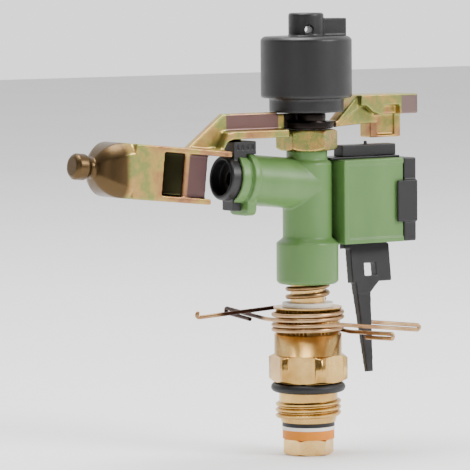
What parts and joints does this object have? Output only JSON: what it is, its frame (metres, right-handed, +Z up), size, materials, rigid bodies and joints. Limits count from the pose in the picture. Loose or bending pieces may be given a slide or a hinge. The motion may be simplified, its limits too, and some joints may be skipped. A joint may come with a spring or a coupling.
{
  "type": "impact sprinkler",
  "caption": "Part-circle impact sprinkler: male threaded brass sleeve, green moulded body, sprung cast arm with spoon, black spring cap, trip lever and wire arc clips.",
  "frame": {"origin": "on the axis that the head turns about, in the sealing face under the fixed hexagon", "axes": "+Z up along the turning axis, -X the side that the jet leaves, +X the trip housing"},
  "size_m": [0.1266, 0.0694, 0.1402],
  "materials": {
    "brass": "machined, satin",
    "clip_bronze": "drawn wire, satin",
    "spring_steel": "drawn wire",
    "steel": "ground",
    "passivated_casting": "yellow passivated casting",
    "passivated_nut": "yellow passivated",
    "green_plastic": "satin moulded",
    "black_plastic": "satin moulded",
    "white_ptfe": "satin",
    "amber_washer": "satin",
    "black_rubber": "matte"
  },
  "bodies": {
    "inlet": {"bearing_sleeve": "brass", "thread_o_ring": "black_rubber"},
    "rotor": {"spindle_tube": "brass", "lower_rubber_washer": "black_rubber", "lower_ptfe_washer": "white_ptfe", "lower_amber_washer": "amber_washer", "upper_ptfe_washer": "white_ptfe", "thrust_spring": "spring_steel", "sprinkler_body": "green_plastic", "stream_straightener": "black_plastic", "nozzle": "black_plastic", "nozzle_o_ring": "black_rubber", "pivot_nut": "passivated_nut", "arm_shaft": "steel", "arm_thrust_washer": "white_ptfe", "arm_spring": "steel", "spring_cap": "black_plastic", "housing_cover": "black_plastic", "trip_pivot_pin": "steel", "striker_guide": "black_plastic", "toggle_spring": "steel"},
    "arm": {"arm": "passivated_casting", "arm_bushing": "white_ptfe"},
    "trip_lever": {"trip_lever": "black_plastic"},
    "striker": {"striker": "black_plastic"},
    "lower_clip": {"lower_sector_clip": "clip_bronze"},
    "upper_clip": {"upper_sector_clip": "clip_bronze"}
  },
  "joints": [
    {"name": "rotor_turn", "type": "hinge", "parent": "inlet", "child": "rotor", "pos_m": [0, 0, 0], "axis": [0, 0, 1], "range_deg": [-28, 95]},
    {"name": "arm_swing", "type": "hinge", "parent": "rotor", "child": "arm", "pos_m": [0, 0, 0.082], "axis": [0, 0, -1], "range_deg": [0, 90], "stiffness_Nm_per_rad": 0.05, "springref_deg": -34.38},
    {"name": "trip_tilt", "type": "hinge", "parent": "rotor", "child": "trip_lever", "pos_m": [0.02, 0, 0.05199], "axis": [1, 0, 0], "range_deg": [0, 14.5]},
    {"name": "striker_lift", "type": "slide", "parent": "rotor", "child": "striker", "axis": [0, 0, 1], "range_m": [0, 0.004]},
    {"name": "lower_clip_turn", "type": "hinge", "parent": "inlet", "child": "lower_clip", "pos_m": [0, 0, 0.0168], "axis": [0, 0, 1], "range_deg": [-30, 0]},
    {"name": "upper_clip_turn", "type": "hinge", "parent": "inlet", "child": "upper_clip", "pos_m": [0, 0, 0.021], "axis": [0, 0, 1], "range_deg": [0, 30]}
  ],
  "couplings": [
    {"joint": "striker_lift", "follows": "trip_tilt", "m_per_rad": 0.0158}
  ]
}
